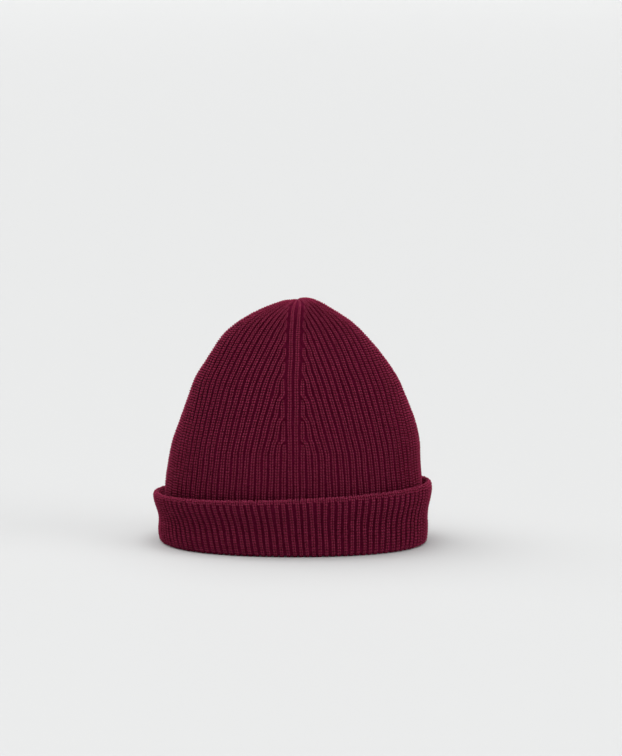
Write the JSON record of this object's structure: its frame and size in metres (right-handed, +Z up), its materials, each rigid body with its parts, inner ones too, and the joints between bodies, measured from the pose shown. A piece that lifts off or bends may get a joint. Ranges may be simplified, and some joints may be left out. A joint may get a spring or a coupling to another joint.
{
  "type": "beanie",
  "caption": "Soft rib-knit beanie: a pointed dome crown in four gores with a turned-up cuff, standing open on its fold.",
  "frame": {"origin": "middle of the footprint, on the surface that the cuff's fold stands on", "axes": "+Z up to the crown's tip, -Y towards the front spine, +X to the right seen from the front, along the oval's long side"},
  "size_m": [0.213, 0.1502, 0.187],
  "materials": {
    "wool": "matte rib knit"
  },
  "bodies": {
    "root": {"crown": "wool", "cuff": "wool"}
  },
  "joints": []
}
